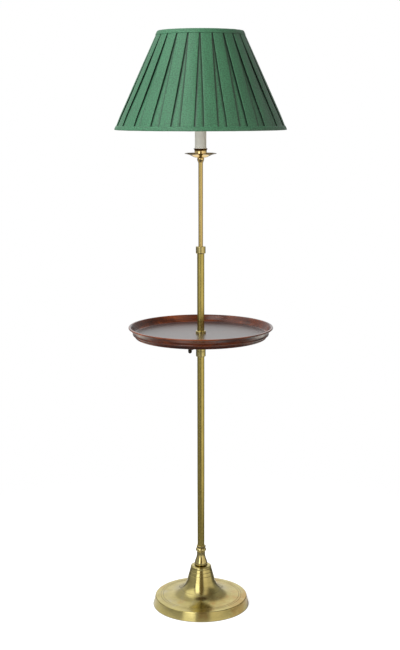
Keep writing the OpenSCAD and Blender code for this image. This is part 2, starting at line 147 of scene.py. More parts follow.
def tidy_outline(c, closed):
    """The same outline without points that lie on a straight run or on top of another."""
    keep = [c[0]]
    for p in c[1:]:
        if np.hypot(*(p - keep[-1])) > SAME_POINT:
            keep.append(p)
    c, changed = keep, True
    while changed and len(c) > 4:
        changed = False
        count = len(c)
        out = []
        for i in range(count):
            if not closed and i in (0, count - 1):
                out.append(c[i])
                continue
            p, q, r = c[i - 1], c[i], c[(i + 1) % count]
            d = r - p
            length = np.hypot(*d)
            gap = abs(d[0] * (q - p)[1] - d[1] * (q - p)[0]) / max(length, 1e-9)
            if gap < STRAIGHT_WITHIN and (out and out[-1] is p or i == 0):
                changed = True
                continue
            out.append(q)
        c = out
    return np.array(c)


LONG_RUN = 2 * MM        # beside a run a third as long or less, one over this is straight
WIDE_RUN = 9 * MM        # a straight run over this gets a point near each of its ends
WIDE_MARGIN = 3 * MM
CALM_BEND = 12           # degrees: a bend below this is not rounded
ROUND_STEP = 30          # degrees of a rounded corner for each step
ROUND_SHARE = 0.42       # of the run beside a corner, the most that its rounding takes
FLAT_GUARD = 0.7 * MM    # from a rounding's end to a point that keeps the run beside it flat
EDGE_SPREAD = 0.55 * MM  # how far a corner's "edge" value reaches
EDGE_MOST = 1.6


def smooth_outline(c, closed, rounding, corner=28.0, fine=5.0):
    """A finer outline with its curves smoothed and its corners rounded.

    Gives its points, its tangents, and how sharply it turns at each point (above 0 where it is convex).
    """
    n = len(c)
    seg = (np.roll(c, -1, 0) - c)[: n if closed else n - 1]
    length = np.hypot(seg[:, 0], seg[:, 1])
    unit = seg / length[:, None]
    tangent_in, tangent_out, is_corner = [None] * n, [None] * n, [False] * n
    turn = np.zeros(n)
    for i in range(n):
        before = (i - 1) % n if closed else i - 1
        if not closed and i in (0, n - 1):
            tangent_in[i] = tangent_out[i] = unit[0] if i == 0 else unit[-1]
            is_corner[i] = True
            continue
        u, w = unit[before], unit[i]
        turn[i] = math.degrees(math.atan2(u[0] * w[1] - u[1] * w[0], float(u @ w)))
        if abs(turn[i]) > corner:
            is_corner[i] = True
            continue
        a, b = length[before], length[i]
        if a > 3 * b and a > LONG_RUN:
            t = u
        elif b > 3 * a and b > LONG_RUN:
            t = w
        else:
            t = u * b + w * a
            t = t / np.hypot(*t)
        tangent_in[i] = tangent_out[i] = t
    for i in range(n):
        if not is_corner[i]:
            continue
        if closed or i > 0:
            u = unit[(i - 1) % n]
            other = tangent_out[(i - 1) % n]
            t = u if other is None else 2 * (other @ u) * u - other
            tangent_in[i] = t
        if closed or i < n - 1:
            w = unit[i]
            other = tangent_in[(i + 1) % n] if not is_corner[(i + 1) % n] else None
            t = w if other is None else 2 * (other @ w) * w - other
            tangent_out[i] = t
    points = []
    for i in range(n if closed else n - 1):
        j = (i + 1) % n
        p, q, t0, t1, size = c[i], c[j], tangent_out[i], tangent_in[j], length[i]
        bend = math.degrees(math.acos(max(-1.0, min(1.0, float(t0 @ t1)))))
        steps = max(1, math.ceil(bend / fine))
        marks = [k / steps for k in range(steps)]
        if steps == 1 and size > WIDE_RUN:
            marks = [0] + [m / size for m in (WIDE_MARGIN, size - WIDE_MARGIN)]
        for m in marks:
            m2, m3 = m * m, m * m * m
            at = (2 * m3 - 3 * m2 + 1) * p + (m3 - 2 * m2 + m) * size * t0
            at = at + (-2 * m3 + 3 * m2) * q + (m3 - m2) * size * t1
            d = (6 * m2 - 6 * m) * p + (3 * m2 - 4 * m + 1) * size * t0
            d = d + (-6 * m2 + 6 * m) * q + (3 * m2 - 2 * m) * size * t1
            d = d / np.hypot(*d)
            points.append((at, (d, d) if m > 0 else (tangent_in[i], tangent_out[i])))
    if not closed:
        points.append((c[-1], (tangent_in[-1], tangent_in[-1])))
    count = len(points)
    done_p, done_t = [], []
    for k in range(count):
        at, (t_in, t_out) = points[k]
        if t_in is None or t_out is None:
            t_in = t_out = t_in if t_out is None else t_out
        bend = math.degrees(math.acos(max(-1.0, min(1.0, float(t_in @ t_out)))))
        ends = not closed and k in (0, count - 1)
        if bend < CALM_BEND or ends:
            done_p.append(at)
            done_t.append(t_out)
            continue
        before = np.hypot(*(at - points[k - 1][0]))
        after = np.hypot(*(points[(k + 1) % count][0] - at))
        b = min(rounding, ROUND_SHARE * before, ROUND_SHARE * after)
        p0, p2 = at - t_in * b, at + t_out * b
        steps = max(2, math.ceil(bend / ROUND_STEP))
        if before > 6 * b:
            done_p.append(at - t_in * (b + FLAT_GUARD if before > LONG_RUN else 2 * b))
            done_t.append(t_in)
        for s in range(steps + 1):
            m = s / steps
            d = (1 - m) * t_in + m * t_out
            done_p.append((1 - m) ** 2 * p0 + 2 * m * (1 - m) * at + m * m * p2)
            done_t.append(d / np.hypot(*d))
        if after > 6 * b:
            done_p.append(at + t_out * (b + FLAT_GUARD if after > LONG_RUN else 2 * b))
            done_t.append(t_out)
    p, t = np.array(done_p), np.array(done_t)
    nxt_t = np.roll(t, -1, 0)
    turning = np.arctan2(t[:, 0] * nxt_t[:, 1] - t[:, 1] * nxt_t[:, 0], (t * nxt_t).sum(1))
    if not closed:
        turning[-1] = 0
    middle = (p + np.roll(p, -1, 0)) / 2
    apart = np.hypot(p[:, None, 0] - middle[None, :, 0], p[:, None, 1] - middle[None, :, 1])
    edge = (turning[None, :] * np.exp(-(apart / EDGE_SPREAD) ** 2 / 2)).sum(1)
    return p, t, np.clip(edge, -EDGE_MOST, EDGE_MOST)


def mesh_object(name, verts, faces):
    """A smooth-shaded mesh object in the scene."""
    mesh = bpy.data.meshes.new(name)
    mesh.from_pydata([tuple(v) for v in verts], [], faces)
    mesh.update()
    obj = bpy.data.objects.new(name, mesh)
    bpy.context.scene.collection.objects.link(obj)
    mesh.polygons.foreach_set("use_smooth", [True] * len(mesh.polygons))
    return obj


# A round opening in the side of a turned piece: its azimuth, height and radius, and how far out it lies.
Hole = namedtuple("Hole", "azimuth z radius out")
HOLE_MARGIN = 1.6        # the finer columns reach this many radii to each side
HOLE_COLUMNS = 48
ON_AXIS = 2 * MICRON


def lathe(name, loops, around=192, hole=None):
    """A turned solid from finished outlines; faces in the hole are left out."""
    angles = list(np.linspace(0, TAU, around, endpoint=False))
    if hole:
        centre = math.radians(hole.azimuth)
        opening = (math.cos(centre) * hole.out, math.sin(centre) * hole.out)
        reach = HOLE_MARGIN * hole.radius / hole.out
        extra = np.linspace(centre - reach, centre + reach, HOLE_COLUMNS)
        angles = sorted([a for a in angles if abs(a - centre) > reach + 0.004] + list(extra))
    angles = np.array(angles)
    cos, sin = np.cos(angles), np.sin(angles)
    count = len(angles)
    verts, normals, edges, faces = [], [], [], []
    for p, t, edge, closed in loops:
        if hole:
            p, t, edge = refine_near(p, t, edge, hole)
        rows = []
        for i in range(len(p)):
            r, z = p[i]
            nr, nz = t[i][1], -t[i][0]
            if r < ON_AXIS:
                rows.append([len(verts)] * count)
                verts.append((0, 0, z))
                normals.append((0, 0, 1 if nz > 0 else -1))
                edges.append(edge[i])
                continue
            rows.append(list(range(len(verts), len(verts) + count)))
            verts.extend(np.stack([r * cos, r * sin, np.full(count, z)], 1))
            normals.extend(np.stack([nr * cos, nr * sin, np.full(count, nz)], 1))
            edges.extend([edge[i]] * count)
        for i in range(len(rows) if closed else len(rows) - 1):
            a, b = rows[i], rows[(i + 1) % len(rows)]
            for k in range(count):
                m = (k + 1) % count
                ring = [a[k], a[m], b[m], b[k]]
                ring = [v for j, v in enumerate(ring) if v != ring[j - 1]]
                if hole:
                    c = np.mean([verts[v] for v in ring], 0)
                    if math.hypot(math.dist(c[:2], opening), c[2] - hole.z) < hole.radius:
                        continue
                if len(ring) > 2:
                    faces.append(ring)
    obj = mesh_object(name, verts, faces)
    mesh = obj.data
    mesh.normals_split_custom_set_from_vertices([tuple(v) for v in normals])
    attribute = mesh.attributes.new("edge", "FLOAT", "POINT")
    attribute.data.foreach_set("value", np.array(edges, np.float32))
    return obj


def refine_near(p, t, edge, hole):
    """Extra points on the outline beside the hole, so that its opening is close to round."""
    out = []
    for i in range(len(p)):
        j = (i + 1) % len(p)
        out.append((p[i], t[i], edge[i]))
        low, high = sorted((p[i][1], p[j][1]))
        beside = high > hole.z - hole.radius and low < hole.z + hole.radius
        if beside and high - low > 1 * MM and p[i][0] > hole.out - 12 * MM:
            steps = math.ceil((high - low) / (0.5 * MM))
            for s in range(1, steps):
                m = s / steps
                out.append(((1 - m) * p[i] + m * p[j], t[i], (1 - m) * edge[i] + m * edge[j]))
    return tuple(np.array(x) for x in zip(*out))


def finish_piece(obj, body, material, replaced=()):
    """Give a piece its material and its body, and hide the CAD nodes that it stands for."""
    obj.data.materials.clear()
    obj.data.materials.append(material)
    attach(obj, body)
    if replaced:
        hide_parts(*replaced)
    return obj


def turned(node, body, material, azimuth=0.0, around=192, rounding=0.25 * MM, hole=None):
    """A finely turned piece that stands for a CAD node, from the node's own outline."""
    loops = []
    for c, closed in node_outlines(node, azimuth):
        p, t, edge = smooth_outline(c, closed, rounding)
        loops.append((p, t, edge, closed))
    obj = lathe(node + "_turned", loops, around, hole)
    return finish_piece(obj, body, material, [node])


def softened(node, body, material, bevel=0.25 * MM, angle=32.0, segments=2):
    """The CAD node's own shape with its edges a little rounded."""
    mesh = NODES[node].data.copy()
    mesh.name = node + "_soft"
    bm = bmesh.new()
    bm.from_mesh(mesh)
    bmesh.ops.remove_doubles(bm, verts=bm.verts, dist=2e-6)
    bmesh.ops.dissolve_degenerate(bm, edges=bm.edges, dist=1e-6)
    bmesh.ops.dissolve_limit(bm, angle_limit=math.radians(1.0), verts=bm.verts, edges=bm.edges)
    for e in bm.edges:
        e.smooth = True
    for f in bm.faces:
        f.smooth = True
    bm.to_mesh(mesh)
    bm.free()
    if mesh.has_custom_normals:
        mesh.normals_split_custom_set([(0, 0, 0)] * len(mesh.loops))
    obj = bpy.data.objects.new(node + "_soft", mesh)
    bpy.context.scene.collection.objects.link(obj)
    modifier = obj.modifiers.new("edges", "BEVEL")
    modifier.width = bevel
    modifier.segments = segments
    modifier.limit_method = "ANGLE"
    modifier.angle_limit = math.radians(angle)
    modifier.harden_normals = True
    return finish_piece(obj, body, material, [node])


# ---- Materials ----

class Nodes:
    """A node tree and a short way to add nodes to it."""

    def __init__(self, tree):
        self.tree = tree
        self.tree.nodes.clear()

    def put(self, socket, value):
        """Link a socket to the input, or set the input to a number or a colour."""
        if isinstance(value, bpy.types.NodeSocket):
            self.tree.links.new(value, socket)
        elif hasattr(socket.default_value, "__len__") and isinstance(value, (int, float)):
            socket.default_value = [value] * len(socket.default_value)
        elif hasattr(socket.default_value, "__len__") and len(socket.default_value) == 4 and len(value) == 3:
            socket.default_value = (*value, 1)
        else:
            socket.default_value = value

    def node(self, kind, inputs=None, **settings):
        made = self.tree.nodes.new("ShaderNode" + kind)
        for key, value in settings.items():
            setattr(made, key, value)
        for key, value in (inputs or {}).items():
            self.put(made.inputs[key], value)
        return made

    def math(self, operation, a, b=None, clamp=False):
        inputs = {0: a} if b is None else {0: a, 1: b}
        return self.node("Math", inputs, operation=operation, use_clamp=clamp).outputs[0]

    def times(self, a, b, clamp=False):
        return self.math("MULTIPLY", a, b, clamp)

    def add(self, *values):
        total = values[0]
        for value in values[1:]:
            total = self.math("ADD", total, value)
        return total

    def swing(self, value, size):
        """A value of 0 to 1 made into one of that size about 0."""
        return self.times(self.math("SUBTRACT", value, 0.5), size)

    def step(self, value, low, high, out_low=0.0, out_high=1.0):
        inputs = {0: value, 1: low, 2: high, 3: out_low, 4: out_high}
        return self.node("MapRange", inputs, interpolation_type="SMOOTHSTEP").outputs[0]

    def mix(self, factor, a, b):
        made = self.node("Mix", data_type="RGBA")
        for index, value in ((0, factor), (6, a), (7, b)):
            self.put(made.inputs[index], value)
        return made.outputs[2]

    def vector(self, x, y, z):
        return self.node("CombineXYZ", {0: x, 1: y, 2: z}).outputs[0]

    def length(self, x, y):
        return self.math("SQRT", self.add(self.times(x, x), self.times(y, y)))


class Look(Nodes):
    """A material."""

    def __init__(self, name):
        self.material = bpy.data.materials.new(name)
        self.material.use_nodes = True
        super().__init__(self.material.node_tree)
        self.output = self.tree.nodes.new("ShaderNodeOutputMaterial")

    def place(self):
        """The point in the row frame, its height z and its distance from the Z axis."""
        where = self.node("TexCoord").outputs["Object"]
        x, y, z = self.node("SeparateXYZ", {0: where}).outputs
        return where, z, self.length(x, y)

    def attribute(self, name):
        return self.node("Attribute", attribute_name=name).outputs["Fac"]

    def scaled(self, vector, sx, sy, sz):
        return self.node("VectorMath", {0: vector, 1: (sx, sy, sz)}, operation="MULTIPLY").outputs[0]

    def noise(self, vector, scale, detail, roughness):
        inputs = {"Vector": vector, "Scale": scale, "Detail": detail, "Roughness": roughness}
        return self.node("TexNoise", inputs).outputs["Fac"]

    def bump(self, height, distance, strength=1.0):
        return self.node("Bump", {"Height": height, "Distance": distance, "Strength": strength}).outputs[0]

    def surface(self, **inputs):
        shader = self.node("BsdfPrincipled")
        for key, value in inputs.items():
            self.put(shader.inputs[key.replace("_", " ")], value)
        self.tree.links.new(shader.outputs[0], self.output.inputs[0])


def brass(name, bright, dull, grime_and_painted_dark, roughness, rings=1.0, mottle=1.0, anisotropy=0.5, grime_level=0.5,
          lines=(), drawn=False, painted_dark_edges=0.0, tarnish=0.0, painted_dark_from=None):
    """Brass turned about the Z axis, or drawn along it, with worn edges and a dark tone in its grooves.

    lines are (z, reach) of finely scribed rings, rim paints a dark reflection onto the convex edges, tarnish adds
    brown and pale patches, and painted_dark_from is the height above which a band of dark reflection is painted.
    """
    look = Look(name)
    where, z, flat = look.place()
    edge = look.attribute("edge")
    cloud = look.noise(where, 34, 5, 0.6)
    fleck = look.noise(where, 420, 3, 0.6)
    ring_at = look.scaled(where, 1.0, 1.0, 0.012) if drawn else look.vector(flat, z, 0.0)
    ring_fine = look.noise(ring_at, 2600, 2, 0.5)
    ring_broad = look.noise(ring_at, 330, 3, 0.6)
    tone = look.add(look.swing(cloud, 1.5 * mottle), look.swing(ring_broad, 0.8 * rings),
                    look.swing(fleck, 0.35 * mottle), look.times(edge, 0.35))
    base = look.mix(look.step(tone, -0.6, 0.6), dull, bright)
    dirt = look.times(look.step(edge, -0.1, -0.9), look.step(cloud, 0.2, 0.6, 0.6, 1.0))
    dirt = look.times(dirt, grime_level * 1.5, clamp=True)
    spots = look.step(look.noise(where, 95, 6, 0.7), 0.63, 0.8)
    dirt = look.math("MAXIMUM", dirt, look.times(spots, grime_level * 0.5))
    height = look.add(look.times(ring_fine, 0.6 * rings), look.times(ring_broad, 0.9 * rings))
    for line_z, reach in lines:
        apart = look.math("ABSOLUTE", look.math("SUBTRACT", z, line_z))
        near = look.times(look.step(apart, 0.35 * MM, 0.10 * MM), look.math("LESS_THAN", flat, reach))
        dirt = look.math("MAXIMUM", dirt, look.times(near, 0.75))
        height = look.math("SUBTRACT", height, look.times(near, 16.0))
    color = look.mix(dirt, base, grime_and_painted_dark)
    # painted reflection: a dark band along the top of a polished lip, in place of the dark surroundings that it
    # reflects
    if painted_dark_from:
        color = look.mix(look.times(look.step(z, painted_dark_from, painted_dark_from + 0.8 * MM), 0.88), color, grime_and_painted_dark)
    if tarnish:
        brown = look.step(look.noise(where, 13, 4, 0.65), 0.50, 0.72, 0.0, tarnish)
        color = look.mix(brown, color, (0.47, 0.265, 0.075))
        pale = look.noise(look.scaled(where, -1.0, 1.0, 1.0), 17, 4, 0.65)
        color = look.mix(look.step(pale, 0.55, 0.75, 0.0, tarnish * 0.6), color, (0.50, 0.47, 0.36))
    # painted reflection: the convex edges darkened, in place of the dark surroundings that they reflect
    if painted_dark_edges:
        color = look.mix(look.step(edge, 0.15, 0.9, 0.0, painted_dark_edges), color, grime_and_painted_dark)
    rough = look.step(tone, -0.7, 0.7, roughness * 1.2, roughness * 0.85)
    rough = look.add(rough, look.times(dirt, 0.2))
    tangent = look.node("Tangent", direction_type="RADIAL", axis="Z").outputs[0]
    look.surface(Base_Color=color, Metallic=1.0, Roughness=rough, Normal=look.bump(height, 0.0011 * MM),
                 Anisotropic=anisotropy, Anisotropic_Rotation=0.25, Tangent=tangent)
    return look.material


def plain(name, color, roughness, metallic=0.0, speck=0.0, scale=300.0, bump=0.0, **extra):
    """A simple finish: speck is how much its tone varies, at that scale, and bump the height of its grain."""
    look = Look(name)
    where = look.place()[0]
    grain = look.noise(where, scale, 4, 0.6)
    dark = tuple(c * (1 - speck) for c in color)
    light = tuple(min(1.0, c * (1 + speck)) for c in color)
    tone = look.mix(look.step(grain, 0.3, 0.7), dark, light)
    inputs = dict(Base_Color=tone, Roughness=roughness, Metallic=metallic)
    if bump:
        inputs["Normal"] = look.bump(grain, bump)
    inputs.update(extra)
    look.surface(**inputs)
    return look.material


def mahogany(name, coat, coat_ior, worn=0.0):
    """Turned and polished mahogany with its grain along X; coat is the polish's roughness, worn dulls the wood."""
    look = Look(name)
    where = look.place()[0]
    bend = look.noise(look.scaled(where, 3.0, 9.0, 9.0), 1.0, 3, 0.5)
    drift = look.vector(0.0, look.swing(bend, 0.05), look.swing(bend, 0.02))
    grain_at = look.node("VectorMath", {0: where, 1: drift}, operation="ADD").outputs[0]
    broad = look.noise(look.scaled(grain_at, 2.2, 34.0, 60.0), 1.0, 4, 0.55)
    rays = look.noise(look.scaled(grain_at, 7.0, 260.0, 320.0), 1.0, 5, 0.62)
    pores = look.noise(look.scaled(grain_at, 60.0, 1500.0, 1500.0), 1.0, 2, 0.5)
    ribbon = look.noise(look.scaled(where, 9.0, 14.0, 14.0), 1.0, 2, 0.5)
    tone = look.add(look.times(broad, 0.55), look.times(rays, 0.3), look.times(ribbon, 0.22))
    ramp = look.node("ValToRGB", {0: tone})
    stops = ramp.color_ramp.elements
    stops[0].position, stops[0].color = 0.38, (0.020, 0.0045, 0.0025, 1)
    stops[1].position, stops[1].color = 0.72, (0.235, 0.052, 0.0105, 1)
    stops.new(0.53).color = (0.074, 0.0145, 0.0036, 1)
    dark = (0.012, 0.004, 0.003)
    pore = look.step(pores, 0.66, 0.74)
    color = look.mix(look.times(pore, 0.65), ramp.outputs[0], dark)
    edge = look.attribute("edge")
    color = look.mix(look.step(edge, 0.25, 1.2, 0.0, 0.25), color, (0.27, 0.075, 0.02))
    color = look.mix(look.step(edge, -0.25, -1.2, 0.0, 0.6), color, dark)
    color = look.mix(worn, color, (0.020, 0.019, 0.020))
    ripple = look.noise(where, 26, 2, 0.5)
    grain = look.add(look.times(pore, -1.0), look.times(rays, 0.5))
    look.surface(Base_Color=color, Roughness=0.42, Specular_IOR_Level=0.15, Normal=look.bump(grain, 0.03 * MM),
                 Coat_Weight=1.0, Coat_Roughness=coat, Coat_IOR=coat_ior, Coat_Normal=look.bump(ripple, 0.12 * MM, 0.5))
    return look.material


def fabric(name, color, color_low, sheen, slub, roughness, specular):
    """Woven cloth; the UV map counts metres across and along it, and slub is how uneven its yarn is."""
    look = Look(name)
    uv = look.node("TexCoord").outputs["UV"]
    parts = look.node("SeparateXYZ", {0: uv})
    warp_wave = look.math("SINE", look.times(parts.outputs[0], TAU / THREAD))
    weft_wave = look.math("SINE", look.times(parts.outputs[1], TAU / (THREAD * 1.15)))
    over = look.times(warp_wave, weft_wave)
    streak = look.noise(look.scaled(uv, 950.0, 16.0, 1.0), 1.0, 3, 0.6)
    slubs = look.noise(look.scaled(uv, 60.0, 1500.0, 1.0), 1.0, 3, 0.6)
    cloud = look.noise(look.scaled(uv, 16.0, 10.0, 1.0), 1.0, 3, 0.5)
    fleck = look.noise(look.scaled(uv, 260.0, 330.0, 1.0), 1.0, 2, 0.5)
    tone = look.add(look.swing(streak, slub), look.swing(slubs, slub * 0.6), look.swing(cloud, slub * 0.7),
                    look.swing(fleck, slub * 3.6), look.times(over, 0.05))
    base = look.mix(look.step(tone, -0.45, 0.45), color_low, color)
    # painted shade: the cloth is darkened towards near black in the pleats' crevices, by the painted shade stored on
    # each point
    painted_crease_shade = look.times(look.attribute("fold"), 0.92)
    base = look.mix(painted_crease_shade, base, tuple(0.08 * part for part in color_low))
    height = look.add(look.times(over, 0.5), look.times(streak, 0.6), look.times(slubs, 0.5))
    look.surface(Base_Color=base, Roughness=roughness, Specular_IOR_Level=specular,
                 Normal=look.bump(height, 0.07 * MM, 0.8),
                 Sheen_Weight=sheen, Sheen_Roughness=0.45, Sheen_Tint=(0.75, 1.0, 0.85))
    return look.material


THREAD = 0.42 * MM    # spacing of the cloth's warp threads
SCRIBED = ((43.3 * MM, 60 * MM),)    # the ring at the foot of the bell: its height, and how far out it can lie
# heights above which the pan's and the cup's lips are painted dark, in place of the dark reflection there
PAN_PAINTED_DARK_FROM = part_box("drip_pan")[1].z - 2.2 * MM
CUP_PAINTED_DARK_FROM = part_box("candle_cup")[1].z - 4.6 * MM
GROOVE = (0.085, 0.055, 0.014)
MIRROR = dict(roughness=0.075, rings=0.25, mottle=0.5, anisotropy=0.2)

AGED = brass("brass_aged", (0.60, 0.51, 0.205), (0.45, 0.375, 0.135), GROOVE, 0.21,
             anisotropy=0.4, grime_level=0.55, lines=SCRIBED, tarnish=0.7)
RUBBED = brass("brass_rubbed", (0.62, 0.52, 0.225), (0.50, 0.41, 0.165), GROOVE, 0.15,
               rings=0.8, mottle=0.8, anisotropy=0.3, grime_level=0.55)
DRAWN = brass("brass_drawn", (0.60, 0.485, 0.140), (0.46, 0.37, 0.105), (0.10, 0.065, 0.02), 0.25,
              rings=0.6, mottle=0.8, anisotropy=0.0, grime_level=0.3, drawn=True)
WARM = brass("brass_warm", (0.66, 0.50, 0.185), (0.54, 0.40, 0.145), (0.12, 0.07, 0.02), 0.19,
             rings=0.5, mottle=0.6, anisotropy=0.0, grime_level=0.35, drawn=True)
# polished brass, its convex edges given a painted dark reflection
POLISHED = brass("brass_polished", (0.80, 0.60, 0.27), (0.68, 0.49, 0.20), (0.10, 0.055, 0.02), painted_dark_edges=0.8, **MIRROR)
# polished brass with a band of painted dark reflection at the top of the pan's lip, and of the cup's lip
PAN_RIM = brass("brass_polished_pan", (0.80, 0.61, 0.27), (0.68, 0.50, 0.20), (0.07, 0.040, 0.018),
                painted_dark_from=PAN_PAINTED_DARK_FROM, **MIRROR)
CUP_RIM = brass("brass_polished_cup", (0.80, 0.60, 0.27), (0.68, 0.49, 0.20), (0.035, 0.018, 0.008),
                painted_dark_from=CUP_PAINTED_DARK_FROM, **MIRROR)
DARK_METAL = plain("dark_bronze", (0.055, 0.040, 0.026), 0.36, 1.0, 0.35, 500, 0.01 * MM)
STEEL = plain("plated_steel", (0.55, 0.54, 0.52), 0.3, 1.0, 0.12, 400)
IRON = plain("cast_iron", (0.045, 0.045, 0.048), 0.62, 0.6, 0.3, 260, 0.2 * MM)
RUBBER = plain("black_rubber", (0.02, 0.02, 0.02), 0.6, 0.0, 0.2, 500)
NYLON = plain("white_nylon", (0.78, 0.77, 0.73), 0.42, 0.0, 0.04, 300)
PHENOLIC = plain("black_phenolic", (0.016, 0.015, 0.014), 0.28, 0.0, 0.2, 300)
CARD = plain("ivory_card", (0.77, 0.775, 0.715), 0.52, 0.0, 0.04, 90, 0.03 * MM)
# painted glint: a paler card for the ring at the foot of the candle tube
CARD_PAINTED_GLINT = plain("ivory_card_painted_glint", (0.92, 0.91, 0.84), 0.5, 0.0, 0.03, 120)
ALUMINIUM = plain("bulb_aluminium", (0.72, 0.72, 0.72), 0.28, 1.0, 0.08, 500)
COATED_WIRE = plain("white_coated_wire", (0.72, 0.71, 0.67), 0.4, 0.0, 0.05, 500)
OPAL = plain("opal_glass", (0.86, 0.86, 0.83), 0.22, 0.0, 0.01, 40, Subsurface_Weight=0.5,
             Subsurface_Radius=(0.012, 0.011, 0.010), Coat_Weight=0.3, Coat_Roughness=0.12)
FELT = plain("green_felt", (0.018, 0.055, 0.028), 0.95, 0.0, 0.5, 900, 0.3 * MM, Sheen_Weight=0.4)
WOOD = mahogany("mahogany_polished", coat=0.18, coat_ior=1.42)
WOOD_FLOOR = mahogany("mahogany_satin", coat=0.30, coat_ior=1.6, worn=0.8)
SILK = fabric("green_silk", (0.0258, 0.133, 0.0595), (0.0106, 0.0655, 0.0283), 0.05,
              slub=0.75, roughness=0.47, specular=1.0)
LINING = fabric("ivory_lining", (0.66, 0.61, 0.49), (0.60, 0.55, 0.43), 0.05,
                slub=0.3, roughness=0.8, specular=0.3)

PLAIN_NODES = {
    "felt_pad": FELT, "base_weight": IRON, "base_nipple": STEEL, "bottom_washer": STEEL, "bottom_nut": STEEL,
    "flex_grommet": RUBBER, "guide_bush": NYLON, "clamp_collet": NYLON, "stem_guide": NYLON, "stem_nipple": STEEL,
    "cup_nut": STEEL, "socket_body": PHENOLIC, "screw_shell": WARM, "bulb_cap": ALUMINIUM, "shade_wires": COATED_WIRE,
    "tray_washer": NYLON, "stem_stop_rings": WARM,
}
for node, material in PLAIN_NODES.items():
    for place in NODES[node].material_slots:
        place.material = material


# ---- Base, neck, column and stem ----

inlet_low, inlet_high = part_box("flex_grommet")
inlet_z = (inlet_low.z + inlet_high.z) / 2
turned("base_cover", "base", AGED, azimuth=-90, around=256, rounding=0.5 * MM,
       hole=Hole(azimuth=90.0, z=inlet_z, radius=5.65 * MM, out=130.2 * MM))
turned("neck_casting", "base", RUBBED, azimuth=180)
turned("column_tube", "base", DRAWN)
turned("locking_collar", "locking_collar", RUBBED)
turned("stem_tube", "stem", WARM)
turned("stem_baluster", "stem", POLISHED)
turned("drip_pan", "stem", PAN_RIM)
turned("candle_cup", "stem", CUP_RIM)
turned("candle_tube", "stem", CARD)
turned("candle_cap", "stem", POLISHED)
turned("socket_cap", "stem", POLISHED)
turned("socket_shell", "stem", POLISHED, azimuth=90)
turned("bulb_glass", "stem", OPAL)
turned("finial", "finial", POLISHED)

# The tray: its flat floor, all but the part under the bush's flange, has the worn finish.
TRAY_FLOOR_Z = 766 * MM
TRAY_FLOOR_FROM_R = 20 * MM
tray = turned("tray", "tray", WOOD, around=256, rounding=0.5 * MM)
tray.data.materials.append(WOOD_FLOOR)
for face in tray.data.polygons:
    x, y, z = face.center
    if abs(z - TRAY_FLOOR_Z) < 0.3 * MM and math.hypot(x, y) > TRAY_FLOOR_FROM_R:
        face.material_index = 1
turned("tray_bush", "tray", AGED)
turned("tray_nut", "tray", AGED)
turned("tray_collar", "tray_carrier", AGED)
softened("harp", "stem", POLISHED, bevel=0.2 * MM, angle=50)
softened("harp_saddle", "stem", POLISHED)
softened("harp_ferrule_left", "ferrule_left", POLISHED)
softened("harp_ferrule_right", "ferrule_right", POLISHED)
softened("neck_set_screw", "base", DARK_METAL, bevel=0.12 * MM)
softened("tray_thumbscrew", "thumbscrew", DARK_METAL, bevel=0.7 * MM, segments=3)
softened("socket_knob", "switch_knob", PHENOLIC, bevel=0.2 * MM)
softened("shade_spider", "shade", COATED_WIRE, bevel=0.3 * MM, angle=40)

# ---- Shade ----

trim_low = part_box("shade_trim_bottom")
trim_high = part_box("shade_trim_top")
SHADE_Z0, SHADE_Z1 = trim_low[0].z, trim_high[1].z
SHADE_SLOPE = (trim_low[1].x - trim_high[1].x) / (trim_high[0].z - SHADE_Z0)
SHADE_SLANT = math.hypot(1, SHADE_SLOPE)    # length along the slope for each unit of height
CLOTH_Z0, CLOTH_Z1 = SHADE_Z0 + 1.3 * MM, SHADE_Z1 - 1.3 * MM
PLEATS = 24
GAP_LOW, GAP_HIGH = 25.5 * MM, 2.4 * MM     # between two pleat faces, at the two edges
STRUTS = 8


def shade_r(z):
    """Outer radius of the shade at height z."""
    return trim_low[1].x - (z - SHADE_Z0) * SHADE_SLOPE


def grid(name, points, u, v, close_rows=False):
    """A mesh over points[row][column], closed round its columns, with a UV map in metres.

    The map is u[row][column], which has one column more, and v[row][column].
    """
    rows, cols = points.shape[:2]
    last = rows if close_rows else rows - 1
    faces, uvs = [], []
    for i in range(last):
        j = (i + 1) % rows
        for k in range(cols):
            m = (k + 1) % cols
            faces.append((i * cols + k, i * cols + m, j * cols + m, j * cols + k))
            v_j = v[j][k] if j else v[i][k] + np.linalg.norm(points[0][k] - points[i][k])
            uvs += [(u[i][k], v[i][k]), (u[i][k + 1], v[i][k]), (u[j][k + 1], v_j), (u[j][k], v_j)]
    obj = mesh_object(name, points.reshape(-1, 3), faces)
    layer = obj.data.uv_layers.new(name="cloth")
    layer.data.foreach_set("uv", np.array(uvs, np.float32).ravel())
    return obj


